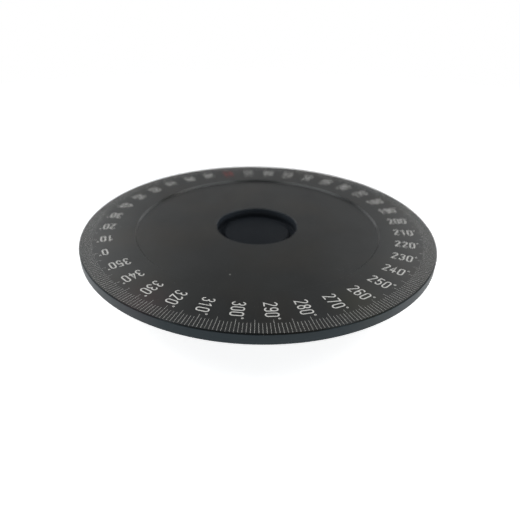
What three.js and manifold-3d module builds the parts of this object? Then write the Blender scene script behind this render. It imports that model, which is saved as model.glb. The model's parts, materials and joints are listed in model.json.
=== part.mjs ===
// A low rotary table: a graduated round plate that turns by hand on one sealed ball bearing, with a
// thumb-screw brake and a fixed index. Millimetres, +Z up. The origin is on the axis of rotation, on
// the base's underside, and at rest the plate's zero mark stands at ZERO_MARK_AT.
import * as THREE from "three";
import { mergeVertices } from "three/addons/utils/BufferGeometryUtils.js";
import Module from "manifold-3d";

const wasm = await Module();
wasm.setup();

// ---------------------------------------------------------------- driving dimensions
const HEIGHT = 36; // bench to the top of the plate's rim
const PLATE_R = 100;
const PLATE_T = 6;
const PLATE_BORE_R = 23.5;
const RECESS_R = 70; // edge of the shallow recess inside the figures
const RECESS_DEPTH = 0.8; // its edge slopes at 45 degrees
const EDGE = 0.5; // chamfer under the plate's rim
const TOP_EDGE = 0.65; // and on top of it
const BORE_EDGE = 0.2;
const MARK_WIDTH = 0.16; // V-shaped grooves that run out over the rim
const MARK_DEPTH = 0.12;
const MARK_INNER_R = 92.85;
const LONG_MARK_INNER_R = 90.6; // every fifth mark
const ZERO_MARK_AT = 205; // degrees from +X, anticlockwise seen from above
const PARKED_READING = 100; // the reading that stands at the index at rest

const BASE_R = 64;
const WALL_INNER_R = 53;
const WALL_TOP = 20;
const FLOOR_T = 5;

const DRUM_R = 50; // the brake surface of the hub
const DRUM_BOTTOM = FLOOR_T + 1;
const FLANGE_R = 60;
const FLANGE_T = 7;
const REGISTER_R = 25; // the hub's rim that centres the plate, in a step under the plate's bore
const REGISTER_H = 1.2;
const WELL_FLOOR = 1.6; // floor of the well round the dust cap, below the plate's underside
const CAP_R = 19.4;
const CAP_EDGE = 0.8;
const CAP_PLUG_R = 14.8;
const CAP_STANDS = 1.5; // top of the dust cap above the plate's underside

// One 60 x 85 x 13 sealed ball bearing.
const BEARING_INNER_R = 30;
const BEARING_OUTER_R = 42.5;
const BEARING_W = 13;
const BEARING_Z = 9; // its lower face
const BALL_R = 4;
const BALLS = 14;
const LAND_HALF_GAP = 2.25; // ball circle to the shoulder of either ring
const GROOVE_PLAY = 0.3;
const SEAL_T = 1.2;

const PLATE_SIDES = 72; // facets of the turned shapes
const BASE_SIDES = 48;
const BEARING_SIDES = 40; // the same on the hub's seat, so that the two lie facet to facet
const SMALL_SIDES = 10;

const FIT = 0.05; // radial gap of parts that are pressed or located together
const GAP = 0.3; // gap of parts that only stand near each other

const PLATE_SCREWS = 6;
const PLATE_SCREW_PCR = 55;
const SPINDLE_BOLTS = 4;
const SPINDLE_BOLT_PCR = 20;
const BENCH_HOLES = 4;
const BENCH_HOLE_PCR = 58.5;

const LOCK_AT = 60; // degrees from +X
const LOCK_Z = 13;
const LOCK_PLAY = 0.55; // pad to drum when the brake is off
const KNOB_R = 10.6;
const KNOB_T = 14;
const KNOB_FACE = 106; // outer end of the knob, from the axis

const INDEX_FLAT = 62; // flat on the base's wall that the index bolts to
const INDEX_SHEET = 3;
const INDEX_REACH = 104.5;
const INDEX_DROP = 3; // top of the index below the top of the plate
const INDEX_SCREW_Z = 10;
const INDEX_SCREW_Y = 4.6;

const plateBottom = HEIGHT - PLATE_T;
const plateFloor = HEIGHT - RECESS_DEPTH;
const flangeBottom = plateBottom - FLANGE_T;
const indexAt = ZERO_MARK_AT - PARKED_READING;
const bearingTop = BEARING_Z + BEARING_W;
const bearingMid = BEARING_Z + BEARING_W / 2;
const ballCircleR = (BEARING_INNER_R + BEARING_OUTER_R) / 2;
const grooveR = BALL_R + GROOVE_PLAY;
const washerTop = bearingTop + 3;
const webBottom = washerTop + 1;
const wellFloor = plateBottom - WELL_FLOOR;
const capTop = plateBottom + CAP_STANDS;

// ---------------------------------------------------------------- materials
function finish(color, roughness, metalness) {
  return new THREE.MeshStandardMaterial({ color, roughness, metalness });
}

const blackAnodised = finish(0x2b2d2f, 0.45, 0.6);
const darkAnodised = finish(0x23262a, 0.5, 0.6);
const groundSteel = finish(0x9a9da0, 0.3, 1.0);
const blackOxide = finish(0x1c1d1f, 0.5, 0.8);
const bearingSteel = finish(0xc2c5c8, 0.18, 1.0);
const brass = finish(0xb08d4a, 0.35, 1.0);
const blackRubber = finish(0x161616, 0.85, 0.0);
const greyFelt = finish(0x6c6a66, 0.95, 0.0);
const cageNylon = finish(0xc9bfa4, 0.6, 0.0);
const blackPlastic = finish(0x1a1a1b, 0.55, 0.0);

// ---------------------------------------------------------------- shape helpers
const rad = THREE.MathUtils.degToRad;

/** A closed geometry as a manifold-3d solid. */
function solid(geometry) {
  const bare = geometry.index ? geometry.toNonIndexed() : geometry.clone();
  bare.deleteAttribute("normal");
  bare.deleteAttribute("uv");
  const merged = mergeVertices(bare, 1e-4);
  const made = new wasm.Mesh({
    numProp: 3,
    vertProperties: merged.attributes.position.array,
    triVerts: new Uint32Array(merged.index.array),
  });
  return new wasm.Manifold(made);
}

/** A manifold-3d solid as a flat-shaded three.js geometry. */
function geometryOf(body) {
  const mesh = body.getMesh();
  const geometry = new THREE.BufferGeometry();
  geometry.setAttribute("position", new THREE.BufferAttribute(mesh.vertProperties, mesh.numProp));
  geometry.setIndex(new THREE.BufferAttribute(mesh.triVerts, 1));
  geometry.computeVertexNormals();
  return geometry;
}

/** The geometry with every tool taken out of it. */
function cut(geometry, ...tools) {
  return geometryOf(tools.reduce((body, tool) => body.subtract(solid(tool)), solid(geometry)));
}

/** A profile of [radius, z] points, anticlockwise, turned about Z: it ends on the axis or closes. */
function turned(profile, segments) {
  const points = profile.map(([r, z]) => new THREE.Vector2(r, z));
  const onAxis = profile[0][0] === 0;
  if (!onAxis) points.push(points[0].clone());
  return new THREE.LatheGeometry(points, segments).rotateX(Math.PI / 2);
}

/** A round bar along Z from z0 to z1. */
function bar(radius, z0, z1, segments) {
  return turned([[0, z0], [radius, z0], [radius, z1], [0, z1]], segments);
}

/** A plain ring between two radii and two heights. */
function ring(inner, outer, z0, z1, segments) {
  return turned([[inner, z0], [outer, z0], [outer, z1], [inner, z1]], segments);
}

/** A hexagonal prism along Z, size across its flats. */
function hexagon(acrossFlats, z0, z1) {
  const radius = acrossFlats / Math.sqrt(3);
  return bar(radius, z0, z1, 6);
}

/** Turns a shape made along +Z so that it lies along +X. */
const alongX = (geometry) => geometry.rotateY(Math.PI / 2);

/** Moves a shape to a place on a circle round the Z axis. */
function onCircle(geometry, radius, degrees) {
  return geometry.translate(radius, 0, 0).rotateZ(rad(degrees));
}

/** Angles of a number of places spaced evenly round a circle, from a first one. */
function evenly(count, first = 0) {
  return Array.from({ length: count }, (_, i) => first + (i * 360) / count);
}

/** Profile points of a ball groove between its two shoulders; side is +1 outward, -1 inward. */
function grooveArc(side, startZ) {
  const half = Math.asin(LAND_HALF_GAP / grooveR);
  const sweep = Math.PI / 2 - half;
  const steps = 4;
  return Array.from({ length: steps + 1 }, (_, i) => {
    const angle = startZ * (sweep - (2 * sweep * i) / steps);
    return [ballCircleR + side * grooveR * Math.cos(angle), bearingMid + grooveR * Math.sin(angle)];
  });
}

/** A countersunk socket screw along Z, its head at the bottom and its flat face at z0. */
function countersunkScrew(threadR, headR, length, socket, z0) {
  const body = turned(
    [
      [0, z0],
      [headR, z0],
      [headR, z0 + 0.3],
      [threadR, z0 + 0.3 + headR - threadR],
      [threadR, z0 + length],
      [0, z0 + length],
    ],
    SMALL_SIDES,
  );
  return cut(body, hexagon(socket, z0 - 1, z0 + (headR - threadR)));
}

/** The room that a countersunk screw needs, as a cutting tool that starts below z0. */
function countersunkHole(threadR, headR, length, z0) {
  const hole = threadR + GAP;
  const mouth = headR + GAP;
  return turned(
    [
      [0, z0 - 1],
      [mouth, z0 - 1],
      [mouth, z0 + 0.5],
      [hole, z0 + 0.5 + mouth - hole],
      [hole, z0 + length],
      [0, z0 + length],
    ],
    SMALL_SIDES,
  );
}

const table = new THREE.Group();

/** Adds a named piece to a group. */
function piece(name, geometry, material, parent = table) {
  const mesh = new THREE.Mesh(geometry, material);
  mesh.name = name;
  parent.add(mesh);
  return mesh;
}

// ---------------------------------------------------------------- the turning part
/** V-shaped cutting tools for every degree mark; the zero mark stands at ZERO_MARK_AT. */
function markTools() {
  const section = new THREE.Shape([
    new THREE.Vector2(0, -MARK_DEPTH),
    new THREE.Vector2(MARK_WIDTH, MARK_DEPTH),
    new THREE.Vector2(-MARK_WIDTH, MARK_DEPTH),
  ]);
  return evenly(360).map((degrees, i) => {
    const inner = i % 5 === 0 ? LONG_MARK_INNER_R : MARK_INNER_R;
    const depth = PLATE_R + 1 - inner;
    const groove = new THREE.ExtrudeGeometry(section, { depth, bevelEnabled: false });
    groove.rotateX(Math.PI / 2).rotateZ(Math.PI / 2).translate(inner, 0, HEIGHT);
    return groove.rotateZ(rad(ZERO_MARK_AT - degrees));
  });
}

function dialPlate() {
  const registerTop = plateBottom + REGISTER_H + GAP;
  const body = turned(
    [
      [REGISTER_R, plateBottom],
      [PLATE_R - EDGE, plateBottom],
      [PLATE_R, plateBottom + EDGE],
      [PLATE_R, HEIGHT - TOP_EDGE],
      [PLATE_R - TOP_EDGE, HEIGHT],
      [RECESS_R, HEIGHT],
      [RECESS_R - RECESS_DEPTH, plateFloor],
      [PLATE_BORE_R + BORE_EDGE, plateFloor],
      [PLATE_BORE_R, plateFloor - BORE_EDGE],
      [PLATE_BORE_R, registerTop],
      [REGISTER_R, registerTop],
    ],
    PLATE_SIDES,
  );
  const holes = evenly(PLATE_SCREWS).map((at) =>
    onCircle(bar(2 + GAP, plateBottom - 1, plateBottom + 4, SMALL_SIDES), PLATE_SCREW_PCR, at),
  );
  return cut(body, ...holes, ...markTools());
}

const SNAP_GROOVE_R = BEARING_OUTER_R + 2.2;
const SNAP_Z = BEARING_Z - 2.05;

function hub() {
  const seat = BEARING_OUTER_R + FIT;
  const well = PLATE_BORE_R + 0.2;
  const register = REGISTER_R - 0.15;
  const body = turned(
    [
      [seat, DRUM_BOTTOM],
      [DRUM_R - 1, DRUM_BOTTOM],
      [DRUM_R, DRUM_BOTTOM + 1],
      [DRUM_R, flangeBottom],
      [FLANGE_R, flangeBottom],
      [FLANGE_R, plateBottom],
      [register, plateBottom],
      [register, plateBottom + REGISTER_H],
      [well, plateBottom + REGISTER_H],
      [well, wellFloor],
      [CAP_PLUG_R + GAP, wellFloor],
      [CAP_PLUG_R + GAP, webBottom],
      [BEARING_OUTER_R - 3, webBottom],
      [BEARING_OUTER_R - 3, bearingTop],
      [seat, bearingTop],
      [seat, BEARING_Z],
      [SNAP_GROOVE_R, BEARING_Z],
      [SNAP_GROOVE_R, SNAP_Z - FIT],
      [seat, SNAP_Z - FIT],
    ],
    BEARING_SIDES,
  );
  const holes = evenly(PLATE_SCREWS).map((at) =>
    onCircle(countersunkHole(2, 4, FLANGE_T + 1, flangeBottom), PLATE_SCREW_PCR, at),
  );
  return cut(body, ...holes);
}

const ringGroove = { bottom: webBottom + 0.6, top: wellFloor - 0.4, depth: 1.3 };

function dustCap() {
  return turned(
    [
      [0, webBottom],
      [CAP_PLUG_R - 0.3, webBottom],
      [CAP_PLUG_R, ringGroove.bottom],
      [CAP_PLUG_R - ringGroove.depth, ringGroove.bottom],
      [CAP_PLUG_R - ringGroove.depth, ringGroove.top],
      [CAP_PLUG_R, ringGroove.top],
      [CAP_PLUG_R, wellFloor],
      [CAP_R, wellFloor],
      [CAP_R, capTop - CAP_EDGE],
      [CAP_R - CAP_EDGE, capTop],
      [0, capTop],
    ],
    30,
  );
}

/** The O-ring that holds the dust cap in the hub. */
function capORing() {
  const thickness = 0.65;
  const middle = (ringGroove.bottom + ringGroove.top) / 2;
  return new THREE.TorusGeometry(CAP_PLUG_R - 0.55, thickness, 6, 30).translate(0, 0, middle);
}

/** Internal snap ring with two lugs, in the groove under the bearing. */
function snapRing() {
  const inner = BEARING_OUTER_R - 1.6;
  const outer = SNAP_GROOVE_R - 0.15;
  const halfGap = rad(9);
  const shape = new THREE.Shape();
  shape.absarc(0, 0, outer, halfGap, 2 * Math.PI - halfGap, false);
  shape.absarc(0, 0, inner, 2 * Math.PI - halfGap, halfGap, true);
  shape.closePath();
  const body = new THREE.ExtrudeGeometry(shape, { depth: 2, bevelEnabled: false, curveSegments: 20 });
  const lugAt = THREE.MathUtils.radToDeg(halfGap) + 2.6;
  const atLugs = (make) => [-lugAt, lugAt].map((at) => onCircle(make(), inner - 0.4, at));
  const eyes = atLugs(() => bar(2.1, 0, 2, SMALL_SIDES));
  const holes = atLugs(() => bar(0.9, -1, 3, 8));
  const withEyes = eyes.reduce((made, eye) => made.add(solid(eye)), solid(body));
  return cut(geometryOf(withEyes), ...holes).translate(0, 0, SNAP_Z);
}

piece("dial_plate", dialPlate(), blackAnodised);
piece("hub", hub(), darkAnodised);
piece("dust_cap", dustCap(), darkAnodised);
piece("cap_o_ring", capORing(), blackRubber);
piece("snap_ring", snapRing(), blackOxide);
evenly(PLATE_SCREWS).forEach((at, i) => {
  const screw = onCircle(countersunkScrew(2, 4, 10, 2.5, flangeBottom + 0.15), PLATE_SCREW_PCR, at);
  piece(`plate_screw_${i + 1}`, screw, blackOxide);
});

// ---------------------------------------------------------------- the bearing
const SEAL_STEP = SEAL_T + 0.4; // depth of the seal's seat in the outer ring

function bearingOuterRing() {
  const land = ballCircleR + LAND_HALF_GAP;
  const seat = land + 0.9;
  return turned(
    [
      [seat, BEARING_Z],
      [BEARING_OUTER_R - 0.8, BEARING_Z],
      [BEARING_OUTER_R, BEARING_Z + 0.8],
      [BEARING_OUTER_R, bearingTop - 0.8],
      [BEARING_OUTER_R - 0.8, bearingTop],
      [seat, bearingTop],
      [seat, bearingTop - SEAL_STEP],
      [land, bearingTop - SEAL_STEP],
      ...grooveArc(1, 1),
      [land, BEARING_Z + SEAL_STEP],
      [seat, BEARING_Z + SEAL_STEP],
    ],
    BEARING_SIDES,
  );
}

function bearingInnerRing() {
  const land = ballCircleR - LAND_HALF_GAP;
  return turned(
    [
      [BEARING_INNER_R + 0.8, BEARING_Z],
      [land, BEARING_Z],
      ...grooveArc(-1, -1),
      [land, bearingTop],
      [BEARING_INNER_R + 0.8, bearingTop],
      [BEARING_INNER_R, bearingTop - 0.8],
      [BEARING_INNER_R, BEARING_Z + 0.8],
    ],
    BEARING_SIDES,
  );
}

/** A crown cage: a ring with one open pocket for each ball. */
function bearingCage() {
  const body = ring(ballCircleR - 1.25, ballCircleR + 1.25, bearingMid - 4.7, bearingMid + 1.5, 2 * BALLS);
  const pockets = evenly(BALLS).map((at) => {
    const pocket = alongX(bar(BALL_R + GAP, -3, 3, SMALL_SIDES).rotateZ(rad(15)));
    return onCircle(pocket, ballCircleR, at).translate(0, 0, bearingMid);
  });
  return cut(body, ...pockets);
}

/** A rubber seal, clear of the inner ring, at a height. */
function bearingSeal(z0) {
  const inner = ballCircleR - LAND_HALF_GAP + GAP;
  const outer = ballCircleR + LAND_HALF_GAP + 0.9 - FIT;
  return ring(inner, outer, z0, z0 + SEAL_T, BEARING_SIDES);
}

piece("bearing_outer_ring", bearingOuterRing(), bearingSteel);
piece("bearing_inner_ring", bearingInnerRing(), bearingSteel);
piece("bearing_cage", bearingCage(), cageNylon);
piece("bearing_seal_upper", bearingSeal(bearingTop - GAP - SEAL_T), blackRubber);
piece("bearing_seal_lower", bearingSeal(BEARING_Z + GAP), blackRubber);
evenly(BALLS).forEach((at, i) => {
  const ball = new THREE.SphereGeometry(BALL_R, 8, 6).rotateX(Math.PI / 2);
  const name = `ball_${String(i + 1).padStart(2, "0")}`;
  piece(name, onCircle(ball, ballCircleR, at).translate(0, 0, bearingMid), bearingSteel);
});

// ---------------------------------------------------------------- the base
const LOCK_BORE_R = 4.3; // room for the brake pad in the wall
const LOCK_SHOULDER = 58.5; // where that room ends and the thread begins

/** Cutting tools for the two index screws, built along +X. */
function indexScrewHoles(from, to) {
  const hole = () => alongX(bar(2 + GAP, from, to, SMALL_SIDES));
  return [-1, 1].map((side) => hole().translate(0, side * INDEX_SCREW_Y, INDEX_SCREW_Z));
}

function baseHousing() {
  const groove = { inner: WALL_INNER_R + 1.4, outer: WALL_INNER_R + 4.6, bottom: WALL_TOP - 1.5 };
  const body = turned(
    [
      [0, 0],
      [BASE_R - 1, 0],
      [BASE_R, 1],
      [BASE_R, WALL_TOP - 1],
      [BASE_R - 1, WALL_TOP],
      [groove.outer, WALL_TOP],
      [groove.outer, groove.bottom],
      [groove.inner, groove.bottom],
      [groove.inner, WALL_TOP],
      [WALL_INNER_R, WALL_TOP],
      [WALL_INNER_R, FLOOR_T],
      [0, FLOOR_T],
    ],
    BASE_SIDES,
  );
  const bolts = evenly(SPINDLE_BOLTS, 45).map((at) =>
    onCircle(countersunkHole(2.5, 5, FLOOR_T + 1, 0), SPINDLE_BOLT_PCR, at),
  );
  const benchHoles = evenly(BENCH_HOLES, 45 / 2 + 90).map((at) =>
    onCircle(bar(2.5, -1, 12, SMALL_SIDES), BENCH_HOLE_PCR, at),
  );
  const lockThread = alongX(bar(3 + GAP, WALL_INNER_R - 1, BASE_R + 1, SMALL_SIDES));
  const padBore = alongX(bar(LOCK_BORE_R, WALL_INNER_R - 1, LOCK_SHOULDER, SMALL_SIDES));
  const lock = [lockThread, padBore].map((tool) => tool.translate(0, 0, LOCK_Z).rotateZ(rad(LOCK_AT)));
  const flat = new THREE.BoxGeometry(10, 22, WALL_TOP + 2).translate(INDEX_FLAT + 5, 0, WALL_TOP / 2);
  const indexHoles = indexScrewHoles(INDEX_FLAT - 7, INDEX_FLAT + 1);
  const index = [flat, ...indexHoles].map((tool) => tool.rotateZ(rad(indexAt)));
  return cut(body, ...bolts, ...benchHoles, ...lock, ...index);
}

/** The fixed post that carries the bearing's inner ring. */
function spindlePost() {
  const seat = BEARING_INNER_R - FIT;
  const body = turned(
    [
      [0, FLOOR_T],
      [37, FLOOR_T],
      [37, BEARING_Z - 1],
      [ballCircleR - LAND_HALF_GAP - 0.6, BEARING_Z - 1],
      [ballCircleR - LAND_HALF_GAP - 0.6, BEARING_Z],
      [seat, BEARING_Z],
      [seat, bearingTop - 1.5],
      [seat - 1, bearingTop - 0.5],
      [0, bearingTop - 0.5],
    ],
    BEARING_SIDES,
  );
  const thread = bar(3 + GAP, BEARING_Z - 1, bearingTop, SMALL_SIDES);
  const bolts = evenly(SPINDLE_BOLTS, 45).map((at) =>
    onCircle(bar(2.5 + GAP, FLOOR_T - 1, 16, SMALL_SIDES), SPINDLE_BOLT_PCR, at),
  );
  return cut(body, thread, ...bolts);
}

/** The dished washer that the spindle screw pulls down on the inner ring. */
function clampWasher() {
  const rim = ballCircleR - LAND_HALF_GAP - 0.6;
  return turned(
    [
      [3 + 0.8, bearingTop],
      [rim, bearingTop],
      [rim, washerTop - 0.6],
      [rim - 0.6, washerTop],
      [6 + GAP, washerTop],
      [6 + GAP, washerTop - 0.5],
    ],
    30,
  );
}

function feltSeal() {
  return ring(WALL_INNER_R + 1.5, WALL_INNER_R + 4.5, WALL_TOP - 1.5, flangeBottom - 0.2, BASE_SIDES);
}

piece("base_housing", baseHousing(), blackAnodised);
piece("spindle_post", spindlePost(), groundSteel);
piece("clamp_washer", clampWasher(), groundSteel);
piece("dust_seal", feltSeal(), greyFelt);
piece(
  "spindle_screw",
  countersunkScrew(3, 6, 15, 4, 0).rotateX(Math.PI).translate(0, 0, washerTop - 0.1),
  blackOxide,
);
evenly(SPINDLE_BOLTS, 45).forEach((at, i) => {
  const bolt = onCircle(countersunkScrew(2.5, 5, 14, 3, 0.3), SPINDLE_BOLT_PCR, at);
  piece(`spindle_bolt_${i + 1}`, bolt, blackOxide);
});

// ---------------------------------------------------------------- the brake, built along +X
const brake = new THREE.Group();
brake.rotation.z = rad(LOCK_AT);
brake.position.z = LOCK_Z;
table.add(brake);

const padFace = DRUM_R + LOCK_PLAY;
const padBack = padFace + 5.4;
const knobBack = KNOB_FACE - KNOB_T;

/** A six-lobed grip with a collar, bored for the screw. */
function lockKnob() {
  const lobes = 6;
  const outline = Array.from({ length: lobes * 6 }, (_, i) => {
    const angle = (i * 2 * Math.PI) / (lobes * 6);
    const radius = KNOB_R - 0.7 + 0.8 * Math.cos(lobes * angle);
    return new THREE.Vector2(radius * Math.cos(angle), radius * Math.sin(angle));
  });
  const bevel = 0.8;
  const grip = new THREE.ExtrudeGeometry(new THREE.Shape(outline), {
    depth: KNOB_T - 2 * bevel,
    bevelThickness: bevel,
    bevelSize: bevel,
    bevelOffset: -bevel / 2,
    bevelSegments: 2,
  }).translate(0, 0, bevel);
  const collar = bar(6.5, -4, 1, 20);
  const bore = bar(3 + GAP, -5, 8, SMALL_SIDES);
  return alongX(geometryOf(solid(grip).add(solid(collar)).subtract(solid(bore)))).translate(knobBack, 0, 0);
}

piece("brake_pad", alongX(bar(LOCK_BORE_R - GAP, padFace, padBack, SMALL_SIDES)), brass, brake);
piece("lock_screw", alongX(bar(3, padBack + 0.1, knobBack + 7.5, SMALL_SIDES)), groundSteel, brake);
piece("lock_knob", lockKnob(), blackPlastic, brake);

// ---------------------------------------------------------------- the index, built along +X
const index = new THREE.Group();
index.rotation.z = rad(indexAt);
table.add(index);

/** A bent and tapered strip: up the base's flat, out under the plate and up beside its rim. */
function indexBracket() {
  const inner = INDEX_FLAT + GAP;
  const armBottom = 16;
  const armTop = armBottom + INDEX_SHEET;
  const tip = HEIGHT - INDEX_DROP;
  const side = new THREE.Shape();
  side.moveTo(inner, FLOOR_T);
  side.lineTo(inner + INDEX_SHEET, FLOOR_T);
  side.lineTo(inner + INDEX_SHEET, armBottom);
  side.lineTo(INDEX_REACH - 2, armBottom);
  side.absarc(INDEX_REACH - 2, armBottom + 2, 2, -Math.PI / 2, 0, false);
  side.lineTo(INDEX_REACH, tip);
  side.lineTo(INDEX_REACH - INDEX_SHEET + 1, tip);
  side.lineTo(INDEX_REACH - INDEX_SHEET, tip - 1);
  side.lineTo(INDEX_REACH - INDEX_SHEET, armTop);
  side.lineTo(inner + 2, armTop);
  side.absarc(inner + 2, armTop - 2, 2, Math.PI / 2, Math.PI, false);
  side.closePath();
  const width = 20;
  const strip = new THREE.ExtrudeGeometry(side, { depth: width, bevelEnabled: false, curveSegments: 4 })
    .rotateX(Math.PI / 2)
    .translate(0, width / 2, 0);
  const plan = new THREE.Shape([
    new THREE.Vector2(inner - 1, -9.5),
    new THREE.Vector2(inner + 5, -9.5),
    new THREE.Vector2(inner + 14, -6),
    new THREE.Vector2(INDEX_REACH + 1, -4.5),
    new THREE.Vector2(INDEX_REACH + 1, 4.5),
    new THREE.Vector2(inner + 14, 6),
    new THREE.Vector2(inner + 5, 9.5),
    new THREE.Vector2(inner - 1, 9.5),
  ]);
  const taper = new THREE.ExtrudeGeometry(plan, { depth: HEIGHT, bevelEnabled: false });
  const tapered = geometryOf(solid(strip).intersect(solid(taper)));
  return cut(tapered, ...indexScrewHoles(INDEX_FLAT - 1, inner + 5));
}

/** A socket cap screw lying along +X with the underside of its head on the bracket. */
function indexScrew(y) {
  const seat = INDEX_FLAT + GAP + INDEX_SHEET + 0.1;
  const body = turned(
    [
      [0, seat - 9],
      [2, seat - 9],
      [2, seat],
      [3.5, seat],
      [3.5, seat + 4],
      [0, seat + 4],
    ],
    SMALL_SIDES,
  );
  return alongX(cut(body, hexagon(3, seat + 2, seat + 5))).translate(0, y, INDEX_SCREW_Z);
}

piece("index_bracket", indexBracket(), groundSteel, index);
piece("index_screw_1", indexScrew(-INDEX_SCREW_Y), blackOxide, index);
piece("index_screw_2", indexScrew(INDEX_SCREW_Y), blackOxide, index);

export default table;
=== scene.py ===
"""The looks of a low rotary table: a black anodised degree plate on a bearing hub, base, brake and index."""

import json
import math
import random

import bmesh
import bpy
from mathutils import Matrix, Vector
from mathutils.geometry import delaunay_2d_cdt

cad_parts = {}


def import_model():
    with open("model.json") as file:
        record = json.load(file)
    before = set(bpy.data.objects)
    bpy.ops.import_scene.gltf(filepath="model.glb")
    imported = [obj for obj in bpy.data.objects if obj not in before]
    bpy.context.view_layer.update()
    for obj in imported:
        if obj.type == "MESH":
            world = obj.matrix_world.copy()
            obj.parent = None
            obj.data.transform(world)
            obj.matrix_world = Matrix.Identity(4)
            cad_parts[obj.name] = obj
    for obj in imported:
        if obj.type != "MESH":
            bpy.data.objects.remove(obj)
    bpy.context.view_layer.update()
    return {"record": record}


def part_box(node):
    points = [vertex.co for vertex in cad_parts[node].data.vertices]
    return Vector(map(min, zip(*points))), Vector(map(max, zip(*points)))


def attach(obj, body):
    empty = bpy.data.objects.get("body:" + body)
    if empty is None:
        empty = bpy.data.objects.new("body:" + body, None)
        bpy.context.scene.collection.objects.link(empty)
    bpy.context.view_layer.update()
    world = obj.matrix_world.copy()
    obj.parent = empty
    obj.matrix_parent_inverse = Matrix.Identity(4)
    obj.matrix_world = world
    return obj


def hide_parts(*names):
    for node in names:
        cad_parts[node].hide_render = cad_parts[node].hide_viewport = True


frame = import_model()
MM = 0.001


# ---------------------------------------------------------------- what the frame says
def extent(node):
    """(lowest corner, highest corner) of a CAD node in millimetres."""
    low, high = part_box(node)
    return [c / MM for c in low], [c / MM for c in high]


def joint(name):
    return next(j for j in frame["record"]["behaviour"]["joints"] if j["name"] == name)


def mount_z(name):
    return next(m for m in frame["record"]["mounts"] if m["name"] == name)["pos_m"][2] / MM


PLATE_LOW, PLATE_HIGH = extent("dial_plate")
PLATE_R = PLATE_HIGH[0]
PLATE_TOP = PLATE_HIGH[2]
PLATE_BOTTOM = PLATE_LOW[2]
RECESS_Z = mount_z("recess_floor")
HUB_LOW, HUB_HIGH = extent("hub")
FLANGE_R = HUB_HIGH[0]
CAP_LOW, CAP_HIGH = extent("dust_cap")
CAP_R = CAP_HIGH[0]
BASE_LOW, BASE_HIGH = extent("base_housing")
BASE_R = -BASE_LOW[0]
BASE_TOP = BASE_HIGH[2]
REGISTER_R = 25  # step under the plate's bore that the hub's rim enters
REGISTER_H = HUB_HIGH[2] - PLATE_BOTTOM
WELL_FLOOR = PLATE_BOTTOM - 1.6  # round the dust cap
RING_LOW, RING_HIGH = extent("bearing_outer_ring")
BEARING_R = RING_HIGH[0]
BEARING_BOTTOM = RING_LOW[2]
BEARING_TOP = RING_HIGH[2]
BEARING_MID = (BEARING_BOTTOM + BEARING_TOP) / 2
WASHER_TOP = extent("clamp_washer")[1][2]

lock = joint("brake_turn")
LOCK_AT = math.atan2(-lock["axis"][1], -lock["axis"][0])
LOCK_Z = lock["pos_m"][2] / MM

# ---------------------------------------------------------------- dimensions of the real parts, mm
BORE_R = 0.235 * PLATE_R
RECESS_R = 0.70 * PLATE_R
PLATE_EDGE = 0.5
TOP_EDGE = 0.65

ZERO_AT = 205  # degrees from +X at rest; the figures rise clockwise
RED_READING = 100
SHORT_MARK_R = 92.85
LONG_MARK_R = 90.6
MARK_WIDTH = 0.14  # of the V-shaped groove, at the plate's face
MARK_DEPTH = 0.15
MARKS_FILLED_TO = 0.02  # the paint's surface, below the plate's face
FIGURES_FILLED_TO = 0.095
FIGURE_DEPTH = 0.17
FIGURE_R = 87.15  # centre of the outermost digit
FIGURE_PITCH = 3.75
FIGURE_W = 2.25  # between the centre lines of a digit's strokes
FIGURE_H = 5.75
FIGURE_SHIFT = -0.2  # centre of the figures, off their mark
FIGURE_STROKE = 0.72
DEGREE_R = 89.9
DEGREE_UP = 2.8
DEGREE_RING_R = 0.38
DEGREE_STROKE = 0.42
NICK_READING = 308  # a nick through the plate's black skin
NICK_R = 56
SCUFF_READING = 255  # fine scuffs near the edge of the recess
SCUFF_R = 64
BORE_EDGE = 0.2

BEARING_BORE_R = 30
BALL_CIRCLE_R = (BEARING_BORE_R + BEARING_R) / 2
BALL_R = 4
BALLS = 14
GROOVE_R = BALL_R + 0.12
LAND = 2.25
DRUM_R = 50
WALL_INNER_R = 53
FLOOR_T = 5


# ---------------------------------------------------------------- shape helpers, all in millimetres
def make(name, verts, faces):
    """A new object from a list of points in millimetres."""
    mesh = bpy.data.meshes.new(name)
    mesh.from_pydata([tuple(c * MM for c in v) for v in verts], [], faces)
    mesh.update()
    obj = bpy.data.objects.new(name, mesh)
    bpy.context.scene.collection.objects.link(obj)
    return obj


def rounded(points, closed, steps=3):
    """Points of [across, up, fillet], each corner with a fillet turned into an arc."""
    result = []
    for i, point in enumerate(points):
        here = Vector(point[:2])
        fillet = point[2] if len(point) > 2 else 0
        at_end = not closed and i in (0, len(points) - 1)
        if fillet == 0 or at_end:
            result.append(tuple(here))
            continue
        before = (Vector(points[i - 1][:2]) - here).normalized()
        after = (Vector(points[(i + 1) % len(points)][:2]) - here).normalized()
        half = before.angle(after) / 2
        centre = here + (before + after).normalized() * (fillet / math.sin(half))
        first = here + before * (fillet / math.tan(half)) - centre
        last = here + after * (fillet / math.tan(half)) - centre
        start = math.atan2(first.y, first.x)
        turn = (math.atan2(last.y, last.x) - start + math.pi) % (2 * math.pi) - math.pi
        for k in range(steps + 1):
            a = start + turn * k / steps
            result.append((centre.x + fillet * math.cos(a), centre.y + fillet * math.sin(a)))
    return result


def loft(name, rings, closed=False):
    """A closed solid from rings of equally many points. A ring of one point closes an end."""
    verts = []
    rows = []
    sides = max(len(r) for r in rings)
    for points in rings:
        first = len(verts)
        verts += points
        rows.append([first + (i if len(points) > 1 else 0) for i in range(sides)])
    faces = []
    nexts = rows[1:] + (rows[:1] if closed else [])
    for low, high in zip(rows, nexts):
        for i in range(sides):
            j = (i + 1) % sides
            corners = [low[i], low[j], high[j], high[i]]
            faces.append([c for k, c in enumerate(corners) if c != corners[k - 1]])
    return make(name, verts, faces)


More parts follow.
